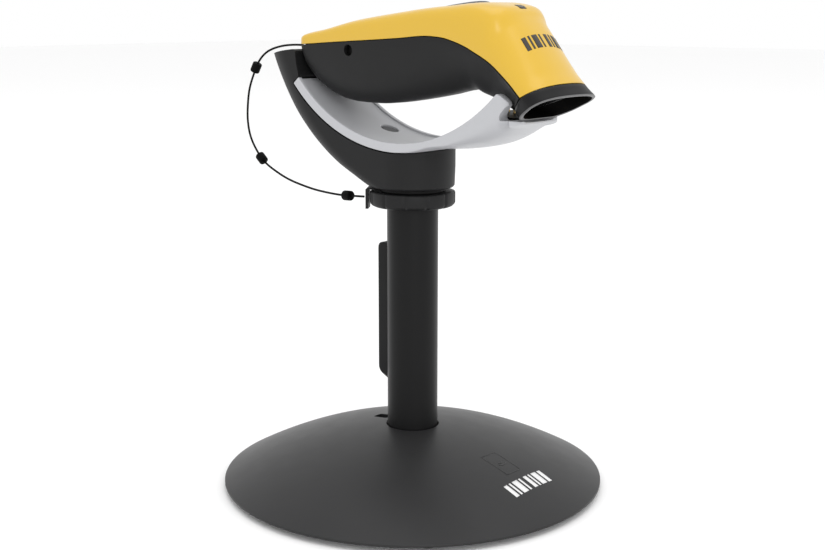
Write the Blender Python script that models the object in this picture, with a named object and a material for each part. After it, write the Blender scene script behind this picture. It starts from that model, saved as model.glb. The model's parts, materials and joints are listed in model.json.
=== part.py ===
"""Cordless handheld barcode scanner lying in the cradle of its charging stand, tied to it by a wire.

Lengths below are in millimetres. The scanner points along +X, the pole stands on the Z axis and the
table is z = 0.
"""
import math

import bmesh
import bpy
from mathutils import Matrix, Vector

MM = 0.001
GAP = 0.3
WELD = 0.002

# Stand
BASE_R = 84.0
DOME_TOP = 25.9
DOME_EDGE = 3.4
DOME_WALL = 2.0
POLE_R = 11.1
POLE_BORE = 9.3
POLE_TOP = 123.9
RING_R = 18.45
RING_TOP = 130.6
RING_LOBES = 12
CUP_R = 18.45
CUP_BOTTOM = 132.3
CUP_WALL = 2.5
SPIGOT_R = 7.7
FOOT_R = 5.5
FOOT_CIRCLE = 73.5

# Cradle liner: an arc about the Y direction, then a scoop in front
ARC_X = 5.0
ARC_Z = 225.7
ARC_IN = 73.0
ARC_OUT = 77.2
ARC_BACK = -49.0
LINER_HALF = 18.5
ARM_GAP = 14.2
LIP = ((-51.8, 230), (-51.8, 187.2), (-51.2, 183.2), (-50.1, 179.2))

# Scanner
FAN_X = 34.0
FAN_Z = 147.0
FACE_ANGLE = 29.7
BODY_END = FAN_X + 90.0 - FACE_ANGLE
WALL = 2.0
BEZEL_DEPTH = 5.5
WINDOW_DEPTH = 6.3
BUTTON_X = 26.4
BUTTON_LONG = 13.5
BUTTON_WIDE = 9.0
POWER_X = 1.0
POWER_R = 3.5
PORT = (-20.2, 190.2)
EYELET_Z = 189.9
SCREWS = (-33.0, 44.4)
CONTACTS = (50.4, 53.8)
LED_X = 55.4

# Station along the body: X up to FAN_X, then degrees turned about the fan line.
# Heights are measured from FAN_Z along the station's plane.
BELLY = ((-51, 38.8), (-50.3, 36.6), (-48, 31.9), (-45, 28.5), (-42, 26.3), (-38, 24), (-31, 21.6),
         (-25, 20.7), (-14, 20.4), (-6.6, 20.9), (7.5, 22.8), (22.7, 25.5), (34, 27.9), (42, 28.5),
         (50.5, 27.8), (64, 28.4), (79, 30.6), (89, 33.4), (BODY_END, 35.3))
PARTING = ((-51, 45), (-25, 46.6), (-2, 47.9), (9, 48.6), (23, 49.6), (30, 49.2), (37, 47.9),
           (45.1, 46.55), (53.2, 45.4), (62.5, 44.9), (72.2, 44.5), (82.2, 44.8), (87.3, 45.3),
           (BODY_END, 46.95))
CROWN = ((-51, 48.4), (-50.3, 49.3), (-36, 52.2), (-18.7, 55.9), (-1.7, 58.3), (20, 60.9), (34, 62.1),
         (48.3, 64.5), (53.5, 65), (56, 64.2), (58, 62.9), (64, 60.1), (71, 57.7), (78, 56.1),
         (84, 55.4), (90, 55.4), (BODY_END, 56))
WIDTH = ((-51, 14.9), (-50.3, 16.1), (-48, 17), (-40, 17.6), (-25, 18.4), (0, 19), (34, 19.1),
         (55, 19), (70, 19.5), (82, 19.9), (BODY_END, 20.3))
KEEL = ((-51, 10.7), (-48, 13.2), (-38, 13.7), (-20, 14.3), (0, 13.5), (22, 12), (34, 11), (50, 9.5),
        (64, 8.5), (79, 9), (84, 9.2), (89, 11.3), (BODY_END, 13.3))
LOW_POWER = ((-51, 4.5), (-38, 4.2), (20, 2.8), (50, 3.2), (79, 4), (BODY_END, 7))
KEEL_POWER = ((-51, 1.7), (40, 1.2), (64, 0.8), (84, 0.8), (BODY_END, 1.5))
UP_POWER = ((-51, 6), (20, 6), (40, 5.4), (51, 4.4), (60, 2.5), (80, 2.1), (88, 2.3), (BODY_END, 2.8))
STATIONS = (-51, -50.3, -48, -45, -41, -36, -28, -14, 4, 20, 34, 42, 49, 53.5, 56.5, 60, 66, 73, 79,
            84, 89, BODY_END)

# Scoop of the liner: underside and half-width along X
SCOOP = ((5, 148.5), (12, 148.82), (20, 149.97), (24, 150.7), (36, 151.5), (47, 153.5), (56, 157), (62, 160.8),
         (65.5, 163.2))
SCOOP_HALF = ((5, 18.5), (36, 18.5), (50, 18.4), (58, 18.2), (61.1, 17.9), (62, 16.8), (65.5, 13.6))
TIP_RIM = ((58.3, 175.8), (61.0, 173.2), (61.3, 168.0), (63.5, 165.6), (65.5, 164.2))
SCOOP_POWER = ((5, 9), (24, 6), (44, 3.4), (65.5, 2.6))

# Back of the cup: centre of the rear half circle by height
CUP_BACK = ((CUP_BOTTOM, 0), (133.2, -2), (137.3, -10.3), (141.6, -18.6), (147.3, -27.1),
            (154.6, -35.7), (164.2, -44.4), (177.7, -53), (186.6, -57.3), (192, -59.3))

# Middle line of the tether wire
TETHER = ((-52.3, 0, 189.9), (-60, 0, 190), (-67, 0, 191.2), (-78, -0.5, 190.6), (-87.3, -0.9, 188.1),
          (-93.1, -1.4, 183.6), (-96.9, -1.9, 176.8), (-99.4, -2.5, 169.7), (-100.1, -3.2, 161.3),
          (-99.4, -3.9, 154.7), (-97.1, -4.6, 148.3), (-92.6, -5.4, 142.5), (-86.4, -6.2, 137.3),
          (-78.2, -7.1, 133.6), (-67.3, -8, 130.2), (-53.5, -8.9, 127.8), (-43.1, -9.9, 127),
          (-32.8, -10.9, 126.8), (-24, -11.6, 127.2), (-17.4, -12.1, 127.6))
WIRE_R = 0.5
FERRULES = (0.285, 0.57, 0.95)


def clear_scene():
    for obj in list(bpy.data.objects):
        bpy.data.objects.remove(obj, do_unlink=True)


def material(name, colour, roughness, metallic=0.0):
    mat = bpy.data.materials.new(name)
    mat.use_nodes = True
    shader = mat.node_tree.nodes["Principled BSDF"]
    shader.inputs["Base Color"].default_value = (*colour, 1.0)
    shader.inputs["Roughness"].default_value = roughness
    shader.inputs["Metallic"].default_value = metallic
    return mat


def mesh_object(name, verts, faces, mat, smooth=True):
    mesh = bpy.data.meshes.new(name)
    mesh.from_pydata([Vector(v) * MM for v in verts], [], faces)
    bm = bmesh.new()
    bm.from_mesh(mesh)
    bmesh.ops.recalc_face_normals(bm, faces=bm.faces)
    bm.to_mesh(mesh)
    bm.free()
    if smooth:
        mesh.shade_smooth()
        mesh.set_sharp_from_angle(angle=math.radians(35))
    mesh.materials.append(mat)
    obj = bpy.data.objects.new(name, mesh)
    bpy.context.scene.collection.objects.link(obj)
    return obj


def loft(name, rings, mat, closed=False):
    count = len(rings[0])
    verts = [v for ring in rings for v in ring]
    faces = []
    last = len(rings) if closed else len(rings) - 1
    for i in range(last):
        a = i * count
        b = (i + 1) % len(rings) * count
        for j in range(count):
            k = (j + 1) % count
            faces.append((a + j, a + k, b + k, b + j))
    if not closed:
        faces.append(tuple(reversed(range(count))))
        faces.append(tuple(range(len(verts) - count, len(verts))))
    return mesh_object(name, verts, faces, mat)


def lathe(name, profile, mat, centre=(0, 0, 0), segments=40, turn=None, lobes=0, lobe_depth=0.0):
    """Revolves a closed outline of (radius, height); an outline touching radius 0 starts and ends there."""
    cx, cy, cz = centre
    on_axis = profile[0][0] == 0
    body = profile[1:-1] if on_axis else profile
    verts = []
    for i in range(segments):
        angle = 2 * math.pi * (i + 0.5) / segments
        for r, z in body:
            dip = lobe_depth * max(0.0, math.cos(lobes * angle)) ** 6 if r > RING_R - 2 else 0.0
            verts.append(((r - dip) * math.cos(angle), (r - dip) * math.sin(angle), z))
    count = len(body)
    faces = []
    for i in range(segments):
        a = i * count
        b = (i + 1) % segments * count
        for j in range(count - 1):
            faces.append((a + j, b + j, b + j + 1, a + j + 1))
        if not on_axis:
            faces.append((a + count - 1, b + count - 1, b, a))
    if on_axis:
        first = len(verts)
        verts.append((0, 0, profile[0][1]))
        verts.append((0, 0, profile[-1][1]))
        for i in range(segments):
            a = i * count
            b = (i + 1) % segments * count
            faces.append((first, b, a))
            faces.append((first + 1, a + count - 1, b + count - 1))
    matrix = turn if turn is not None else Matrix.Identity(3)
    verts = [matrix @ Vector(v) + Vector((cx, cy, cz)) for v in verts]
    return mesh_object(name, verts, faces, mat)


def rod(name, r, low, high, mat, centre=(0, 0), segments=24, edge=0.0):
    profile = ((0, low), (r - edge, low), (r, low + edge), (r, high - edge), (r - edge, high), (0, high))
    if edge == 0.0:
        profile = ((0, low), (r, low), (r, high), (0, high))
    return lathe(name, profile, mat, centre=(centre[0], centre[1], 0), segments=segments)


def tube(name, outer, inner, low, high, mat, segments=48):
    return lathe(name, ((outer, low), (outer, high), (inner, high), (inner, low)), mat, segments=segments)


def prism(name, outline, low, high, mat, frame=None):
    """Extrudes an (X, Z) outline from Y = low to Y = high, or along a given frame's second axis."""
    frame = frame or (Vector((1, 0, 0)), Vector((0, 1, 0)), Vector((0, 0, 1)), Vector((0, 0, 0)))
    ax, ay, az, origin = frame
    rings = [[origin + ax * x + ay * y + az * z for x, z in outline] for y in (low, high)]
    return loft(name, rings, mat)


def block(name, low, high, mat, frame=None):
    outline = ((low[0], low[2]), (high[0], low[2]), (high[0], high[2]), (low[0], high[2]))
    return prism(name, outline, low[1], high[1], mat, frame)


def ease(obj, width, segments=2, limit=40):
    """Bevels the sharper edges of an object."""
    bm = bmesh.new()
    bm.from_mesh(obj.data)
    edges = [e for e in bm.edges if e.is_manifold and e.calc_face_angle() > math.radians(limit)]
    bmesh.ops.bevel(bm, geom=edges, offset=width * MM, segments=segments, affect="EDGES", profile=0.5)
    bm.to_mesh(obj.data)
    bm.free()
    obj.data.shade_smooth()
    obj.data.set_sharp_from_angle(angle=math.radians(35))
    return obj


def combine(obj, other, operation="DIFFERENCE", keep=False):
    """Applies an exact Boolean and removes the second object unless it is kept."""
    modifier = obj.modifiers.new("cut", "BOOLEAN")
    modifier.solver = "EXACT"
    modifier.operation = operation
    modifier.object = other
    bpy.context.view_layer.update()
    graph = bpy.context.evaluated_depsgraph_get()
    mesh = bpy.data.meshes.new_from_object(obj.evaluated_get(graph))
    obj.modifiers.clear()
    mat = obj.data.materials[0]
    obj.data = mesh
    bm = bmesh.new()
    bm.from_mesh(mesh)
    bmesh.ops.remove_doubles(bm, verts=bm.verts, dist=WELD * MM)
    bmesh.ops.dissolve_degenerate(bm, edges=bm.edges, dist=WELD * MM)
    bm.to_mesh(mesh)
    bm.free()
    mesh.materials.clear()
    mesh.materials.append(mat)
    for polygon in mesh.polygons:
        polygon.material_index = 0
    mesh.shade_smooth()
    mesh.set_sharp_from_angle(angle=math.radians(35))
    if not keep:
        bpy.data.objects.remove(other, do_unlink=True)
    return obj


def curve_at(table, x):
    """Reads a table with a smooth curve that never overshoots its points."""
    xs = [row[0] for row in table]
    ys = [row[1] for row in table]
    last = len(xs) - 1
    if x <= xs[0]:
        return ys[0]
    if x >= xs[last]:
        return ys[last]
    slopes = [(ys[i + 1] - ys[i]) / (xs[i + 1] - xs[i]) for i in range(last)]
    tangents = [slopes[0]]
    for i in range(1, last):
        product = slopes[i - 1] * slopes[i]
        tangents.append(2 * product / (slopes[i - 1] + slopes[i]) if product > 0 else 0.0)
    tangents.append(slopes[-1])
    i = max(j for j in range(last) if xs[j] <= x)
    step = xs[i + 1] - xs[i]
    t = (x - xs[i]) / step
    rise = (2 * t - 3) * t * t + 1
    return (rise * ys[i] + (1 - rise) * ys[i + 1]
            + step * (t * (1 - t) ** 2 * tangents[i] + t * t * (t - 1) * tangents[i + 1]))


def station_frame(s):
    """Foot point and direction of a body station in the XZ plane."""
    if s <= FAN_X:
        return Vector((s, 0, FAN_Z)), Vector((0, 0, 1))
    angle = math.radians(90 - (s - FAN_X))
    return Vector((FAN_X, 0, FAN_Z)), Vector((math.cos(angle), 0, math.sin(angle)))


def body_ring(s, inset=0.0, shift=0.0, upper=11, lower=13):
    """Closed section of the scanner body, inset on all sides and shifted out of its plane."""
    origin, up = station_frame(s)
    forward = Vector((up.z, 0, -up.x))
    belly = curve_at(BELLY, s) + inset
    parting = curve_at(PARTING, s)
    crown = max(curve_at(CROWN, s) - inset, parting + 0.8)
    wide = curve_at(WIDTH, s) - inset
    keel = curve_at(KEEL, s) - inset
    low, bend, high = curve_at(LOW_POWER, s), curve_at(KEEL_POWER, s), curve_at(UP_POWER, s)
    ring = []
    for i in range(upper):
        t = math.pi * i / upper
        side = math.copysign(abs(math.cos(t)) ** (2 / high), math.cos(t))
        rise = math.sin(t) ** (2 / high)
        ring.append((wide * side, parting + (crown - parting) * rise))
    for i in range(lower):
        t = math.pi * i / lower
        side = -math.copysign(abs(math.cos(t)) ** (2 / low), math.cos(t))
        depth = math.sin(t) ** (2 / low)
        half = wide + (keel - wide) * depth ** bend
        ring.append((half * side, parting - (parting - belly) * depth))
    return [origin + up * z + forward * shift + Vector((0, y, 0)) for y, z in ring]


def body_solid(name, mat, inset=0.0, open_front=0.0):
    """Lofted scanner body; open_front pushes its last section out of the nose."""
    stations = [s for s in STATIONS if s >= STATIONS[0] + inset or s > FAN_X]
    if inset:
        stations = [STATIONS[0] + inset] + stations
    rings = [body_ring(s, inset) for s in stations]
    if open_front:
        rings.append(body_ring(BODY_END, inset, open_front))
    return loft(name, rings, mat)


def face_frame(depth=0.0):
    """Axes of the nose opening: along the face, across, outward, and its lower middle point."""
    _, along = station_frame(BODY_END)
    out = Vector((along.z, 0, -along.x))
    low = Vector((FAN_X, 0, FAN_Z)) + along * curve_at(BELLY, BODY_END)
    return along, Vector((0, 1, 0)), out, low - out * depth


def face_block(name, low, high, mat, depth=0.0):
    return block(name, low, high, mat, frame=face_frame(depth))


def arc_point(radius, degrees):
    angle = math.radians(degrees)
    return ARC_X + radius * math.sin(angle), ARC_Z - radius * math.cos(angle)


def liner_rings():
    """Sections of the cradle liner from its back end to the front of its scoop."""
    rings = []
    side = 7
    for degrees in (ARC_BACK, -47.5, -40, -32, -24, -16, -8, 0):
        angle = math.radians(degrees)
        centre = Vector((ARC_X, 0, ARC_Z))
        inward = Vector((-math.sin(angle), 0, math.cos(angle)))
        origin = centre - inward * ARC_IN
        depth = ARC_OUT - ARC_IN
        rings.append([origin + inward * z + Vector((0, y, 0))
                      for y, z in trough(LINER_HALF, depth, 9, depth - 1.1, LINER_HALF - 2.2, side)])
    for x in (12, 20, 28, 36, 43, 49, 54, 58.3, 61.0, 61.3, 63.5, 65.5):
        top, half, depth, floor, inner = scoop_sizes(x)
        rings.append([Vector((x, y, top + z))
                      for y, z in trough(half, depth, curve_at(SCOOP_POWER, x), floor, inner, side)])
    return rings


def scoop_sizes(x):
    """Rim height, half-width, outer depth, floor thickness and inner half-width of the liner's front."""
    top = curve_at(TIP_RIM, x) if x > 58.3 else ARC_Z - math.sqrt(ARC_IN ** 2 - (x - ARC_X) ** 2)
    half = curve_at(SCOOP_HALF, x)
    depth = top - curve_at(SCOOP, x)
    blend = min(1.0, (x - ARC_X) / 20)
    thick = min(3.2, depth - 0.6)
    floor = (1 - blend) * (ARC_OUT - ARC_IN - 1.1 - thick) + thick
    inner = half - 2.6 if x > 61.2 else LINER_HALF - 2.2 - (LINER_HALF - ARM_GAP - 2.2) * blend
    return top, half, depth, floor, inner


def scoop_section(x, gap, side=7):
    """Closed section of the space inside the scoop, kept clear of its walls."""
    top, half, depth, floor, inner = scoop_sizes(x)
    inside = trough(half, depth, curve_at(SCOOP_POWER, x), floor + gap, inner - gap, side)[2 * side + 1:]
    return [Vector((x, y, top + z)) for y, z in inside]


def trough(half, depth, power, floor, inner, side):
    """U section with its rim at height 0: outer wall down and round, then back along the inside."""
    points = []
    for i in range(2 * side + 1):
        t = math.pi * i / (2 * side)
        y = math.copysign(abs(math.cos(t)) ** (2 / power), -math.cos(t)) * half
        points.append((y, -depth * math.sin(t) ** (2 / power)))
    inside = depth - floor
    for i in range(2 * side + 1):
        t = math.pi * i / (2 * side)
        y = math.copysign(abs(math.cos(t)) ** (2 / power), math.cos(t)) * inner
        points.append((y, -inside * math.sin(t) ** (2 / power)))
    return points


def stadium(z, back, radius, rear, points=12):
    ring = []
    for i in range(points + 1):
        t = -math.pi / 2 + math.pi * i / points
        ring.append(Vector((radius * math.cos(t), radius * math.sin(t), z)))
    for i in range(points + 1):
        t = math.pi / 2 + math.pi * i / points
        ring.append(Vector((back + rear * math.cos(t), rear * math.sin(t), z)))
    return ring


def smooth_route(points, step):
    """Evenly spaced points on a Catmull-Rom curve through the route points."""
    route = [Vector(p) for p in points]
    fine = []
    for i in range(len(route) - 1):
        a = route[max(i - 1, 0)]
        b, c = route[i], route[i + 1]
        d = route[min(i + 2, len(route) - 1)]
        for k in range(20):
            t = k / 20
            fine.append(0.5 * ((2 * b) + (c - a) * t + (2 * a - 5 * b + 4 * c - d) * t * t
                               + (3 * b - a - 3 * c + d) * t ** 3))
    fine.append(route[-1])
    total = sum((q - p).length for p, q in zip(fine, fine[1:]))
    count = round(total / step)
    spaced = [fine[0]]
    walked = 0.0
    for p, q in zip(fine, fine[1:]):
        span = (q - p).length
        while len(spaced) < count and walked + span >= total * len(spaced) / count:
            spaced.append(p.lerp(q, (total * len(spaced) / count - walked) / span))
        walked += span
    spaced.append(fine[-1])
    return spaced


def move_origin(obj, point):
    shift = Vector(point) * MM
    obj.data.transform(Matrix.Translation(-shift))
    obj.location = shift
    return obj


def build_materials():
    return {
        "base": material("satin_dark_grey", (0.075, 0.077, 0.081), 0.45),
        "black": material("matte_black_plastic", (0.032, 0.032, 0.034), 0.55),
        "pole": material("black_painted_tube", (0.028, 0.028, 0.03), 0.5),
        "liner": material("light_grey_plastic", (0.62, 0.63, 0.65), 0.35),
        "yellow": material("yellow_plastic", (0.85, 0.55, 0.03), 0.35),
        "grey": material("dark_grey_rubber", (0.06, 0.062, 0.066), 0.6),
        "iron": material("cast_iron_weight", (0.09, 0.09, 0.09), 0.7, 0.8),
        "steel": material("steel", (0.6, 0.6, 0.62), 0.35, 1.0),
        "gold": material("gold_contact", (0.9, 0.68, 0.3), 0.25, 1.0),
        "board": material("green_board", (0.02, 0.14, 0.05), 0.5),
        "cell": material("blue_cell_wrap", (0.05, 0.12, 0.35), 0.4),
        "glass": material("dark_window", (0.012, 0.01, 0.012), 0.08),
        "led": material("clear_blue_lens", (0.25, 0.35, 0.6), 0.15),
        "rubber": material("black_rubber", (0.02, 0.02, 0.02), 0.8),
        "wire": material("black_coated_wire", (0.01, 0.01, 0.01), 0.5),
    }


def dome_height(r):
    return DOME_TOP - (DOME_TOP - DOME_EDGE) * (r * r - POLE_R ** 2) / (BASE_R ** 2 - POLE_R ** 2)


def build_base(mat):
    radii = [POLE_R + GAP + (BASE_R - POLE_R - GAP) * i / 8 for i in range(9)]
    outer = [(r, dome_height(r)) for r in radii]
    inner_radii = [POLE_R + GAP + (81.6 - POLE_R - GAP) * i / 5 for i in range(6)]
    inner = [(r, dome_height(r) - DOME_WALL) for r in reversed(inner_radii)]
    cover = lathe("base_cover", outer + [(BASE_R, 2.5), (81.6, 2.5)] + inner, mat["base"], segments=64)
    combine(cover, block("cable_hole", (-21.5, -2.6, 15), (-13.5, 2.6, 40), mat["base"]))

    plate = lathe("base_plate", ((0, 1.7), (79.0, 1.7), (79.5, 2.1), (79.5, 3.1), (0, 3.1)),
                  mat["steel"], segments=48)
    weight = lathe("base_weight", ((22, 3.4), (66, 3.4), (66, 9.0), (42, 15), (22, 15)), mat["iron"])
    for i in range(4):
        angle = math.radians(45 + 90 * i)
        foot_at = (FOOT_CIRCLE * math.cos(angle), FOOT_CIRCLE * math.sin(angle))
        rod(f"base_foot_{i + 1}", FOOT_R, 0, 1.4, mat["rubber"], foot_at, edge=0.4)
        screw_at = (50 * math.cos(angle), 50 * math.sin(angle))
        combine(plate, rod("hole", 2.3, 0, 5, mat["steel"], screw_at))
        combine(weight, rod("hole", 2.3, 0, 9.5, mat["iron"], screw_at))
        lathe(f"base_screw_{i + 1}", ((0, 0.2), (4, 0.2), (4.2, 0.5), (4.2, 1.4), (2, 1.4), (2, 9), (0, 9)),
              mat["steel"], centre=(*screw_at, 0), segments=24)


def build_pole(mat):
    pole = tube("pole", POLE_R, POLE_BORE, 3.4, POLE_TOP - GAP, mat["pole"], segments=48)
    combine(pole, block("slot", (-20, -1.8, 52), (-5, 1.8, 98), mat["pole"]))
    outline = ((-16.8, 48), (-8, 43.5), (-8, 106.8), (-14, 106.8), (-16, 106), (-16.8, 104))
    cover = prism("cable_cover", outline, -4.3, 4.3, mat["black"])
    combine(cover, rod("round", POLE_R + GAP, 0, 140, mat["black"], segments=48))
    combine(cover, block("channel", (-15.2, -2.2, 54), (-8, 2.2, 97), mat["black"]))

    lathe("tie_rod", ((0, 3.5), (3, 3.5), (3, 120.8), (2.6, 121.2), (0, 121.2)), mat["steel"], segments=20)
    nut = lathe("tie_rod_nut", ((5.4, 116.4), (5.4, 120), (3.3, 120), (3.3, 116.4)), mat["steel"], segments=24)
    spigot = ((9, 104), (9, POLE_TOP - 0.6), (SPIGOT_R, POLE_TOP - 0.6), (SPIGOT_R, 139.4), (7.2, 140),
              (6.2, 140), (6.2, 116), (3.4, 116), (3.4, 104))
    lathe("swivel_spigot", spigot, mat["black"], segments=48)
    hexagon = [(5.2 * math.cos(math.radians(60 * k)), 5.2 * math.sin(math.radians(60 * k)))
               for k in range(6)]
    rings = [[Vector((x, y, z)) for x, y in hexagon] for z in (116.0, 120.4)]
    combine(nut, loft("hexagon", rings, mat["steel"]), "INTERSECT")


def build_head(mat):
    ring = ((RING_R - 1.6, POLE_TOP + GAP), (RING_R, POLE_TOP + 1.9), (RING_R, RING_TOP - 0.5),
            (RING_R - 0.6, RING_TOP), (SPIGOT_R + GAP, RING_TOP), (SPIGOT_R + GAP, POLE_TOP + GAP))
    lathe("lock_ring", ring, mat["black"], segments=72, lobes=RING_LOBES, lobe_depth=0.7)

    bracket = tube("tether_bracket", 14, SPIGOT_R + GAP, RING_TOP + GAP, CUP_BOTTOM - GAP, mat["black"])
    turn = math.radians(-145)
    ax = Vector((math.cos(turn), math.sin(turn), 0))
    ay = Vector((-math.sin(turn), math.cos(turn), 0))
    frame = (ax, ay, Vector((0, 0, 1)), Vector((0, 0, 0)))
    tab = ((10, RING_TOP + 0.5), (18.9, RING_TOP + 0.5), (18.9, 122.8), (20.1, 122.8),
           (20.1, CUP_BOTTOM - 0.5), (10, CUP_BOTTOM - 0.5))
    combine(bracket, prism("tab", tab, -3.5, 3.5, mat["black"], frame), "UNION")

    heights = [CUP_BOTTOM, 133.2, 135, 137.3, 141.6, 147.3, 154.6, 164.2, 171, 177.7, 183, 187.5, 191]
    cup = loft("head_cup", [stadium(z, curve_at(CUP_BACK, z), CUP_R, CUP_R) for z in heights], mat["black"])
    start = ARC_BACK - 0.4
    over = [arc_point(ARC_OUT + GAP, start + 100 * i / 32) for i in range(33)]
    over += [(70, 230), *LIP, arc_point(ARC_IN - GAP, start)]
    combine(cup, prism("liner_space", over, -30, 30, mat["black"]))
    top = ((-90, 184.5), (-52, 190.6), (-52, 230), (-90, 230))
    combine(cup, prism("lip_top", top, -30, 30, mat["black"]))
    groove = lathe("groove", ((0, 50), (1.8, 50), (1.8, 90), (0, 90)), mat["black"], segments=20,
                   centre=(0, 0, EYELET_Z + 0.7), turn=Matrix.Rotation(math.radians(-90), 3, "Y"))
    combine(cup, groove)
    inner_heights = [135.3, 141.6, 147.3, 154.6, 164.2, 172]
    pocket = [stadium(z, min(0.0, curve_at(CUP_BACK, z - 3.2) + 0.6), CUP_R - CUP_WALL, CUP_R - CUP_WALL)
              for z in inner_heights]
    combine(cup, loft("cup_pocket", pocket, mat["black"]))
    combine(cup, rod("bore", SPIGOT_R + GAP, 120, 150, mat["black"], segments=48))
    combine(cup, block("usb_opening", (-32, -6.2, 139.2), (-18, 6.2, 143.4), mat["black"]))

    block("charge_board", (-15, -11, 141.2), (8, 11, 142.8), mat["board"])
    socket = block("stand_usb_socket", (-29, -5.8, 139.6), (-15.5, 5.8, 143.0), mat["steel"])
    combine(socket, block("mouth", (-30, -4.6, 140.4), (-20, 4.6, 142.2), mat["steel"]))

    liner = loft("cradle_liner", liner_rings(), mat["liner"])
    screw_x, screw_z = arc_point(ARC_IN, -19)
    recess = ((0, -10), (1.8, -10), (1.8, -2.9), (4.0, -2.9), (4.0, 4), (0, 4))
    tilt = Matrix.Rotation(math.radians(19), 3, "Y")
    combine(liner, lathe("recess", recess, mat["liner"], centre=(screw_x, 7, screw_z), segments=32, turn=tilt))
    screw = ((0, -4.0), (1.5, -4.0), (1.5, -2.6), (3.6, -2.6), (3.6, -1.9), (3.2, -1.5), (0, -1.5))
    lathe("liner_screw", screw, mat["grey"], centre=(screw_x, 7, screw_z), segments=32, turn=tilt)

    outline = ((46.5, 150), (60.9, 150), (60.9, 165.4), (56.6, 166.2), (46.5, 167.6))
    contact = prism("contact_block", outline, -12.4, 12.4, mat["black"])
    combine(contact, loft("scoop_space", [scoop_section(x, 3 * GAP) for x in (44, 47, 50, 54, 58.3, 61.2)],
                          mat["black"]), "INTERSECT")
    ease(contact, 0.3, 1, 55)
    for name, x, tip in (("rear", CONTACTS[0], 170.5), ("front", CONTACTS[1], 169.2)):
        combine(contact, rod("bore", 1.0, 164.4, 170, mat["black"], (x, 0)))
        pin = lathe(f"pogo_pin_{name}", ((0, 165.3), (0.7, 165.3), (0.7, tip - 0.3), (0.4, tip), (0, tip)),
                    mat["gold"], centre=(x, 0, 0), segments=20)
        move_origin(pin, (x, 0, 165.3))


def build_shells(mat):
    shell = body_solid("bottom_shell", mat["black"])
    combine(shell, body_solid("cavity", mat["black"], WALL, 3.0))
    along, across, out, low = face_frame()
    nose_cut = [(-30, -BEZEL_DEPTH), (60, -BEZEL_DEPTH), (60, 20), (-30, 20)]
    back_cut = [(-30, -BEZEL_DEPTH - GAP), (60, -BEZEL_DEPTH - GAP), (60, 20), (-30, 20)]
    bezel = shell.copy()
    bezel.data = shell.data.copy()
    bezel.name = "nose_bezel"
    bpy.context.scene.collection.objects.link(bezel)
    frame = (along, across, out, low)
    combine(bezel, prism("nose", nose_cut, -40, 40, mat["black"], frame), "INTERSECT")
    combine(shell, prism("nose", back_cut, -40, 40, mat["black"], frame))

    line = []
    for s in [-60 + 2 * k for k in range(47)] + list(range(36, 98, 3)):
        if s <= FAN_X or s > FAN_X + 1:
            origin, up = station_frame(min(s, BODY_END + 3))
            point = origin + up * curve_at(PARTING, s)
            line.append((point.x, point.z))
    line = sorted(set(line))
    upper = [(x, z + GAP / 2) for x, z in line] + [(line[-1][0] + 30, 150), (130, 240), (-70, 240)]
    lower = [(x, z - GAP / 2) for x, z in line] + [(line[-1][0], 120), (-70, 120)]
    top = shell.copy()
    top.data = shell.data.copy()
    top.name = "top_shell"
    top.data.materials.clear()
    top.data.materials.append(mat["yellow"])
    bpy.context.scene.collection.objects.link(top)
    combine(top, prism("upper", upper, -40, 40, mat["yellow"]), "INTERSECT")
    combine(shell, prism("lower", lower, -40, 40, mat["black"]), "INTERSECT")
    return top, shell, bezel


def ellipse_ring(z, grow=0.0, points=40):
    return [Vector((BUTTON_X + (BUTTON_LONG + grow) * math.cos(2 * math.pi * k / points),
                    (BUTTON_WIDE + grow) * math.sin(2 * math.pi * k / points), z)) for k in range(points)]


def crown_at(x):
    """Top middle line of the shell over the handle and button."""
    return curve_at(((-50, 196.3), (-36, 199.2), (-18.7, 202.9), (-1.7, 205.3), (20, 207.9), (34, 209.1),
                     (42, 209.7), (50, 209.5)), x)


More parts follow.
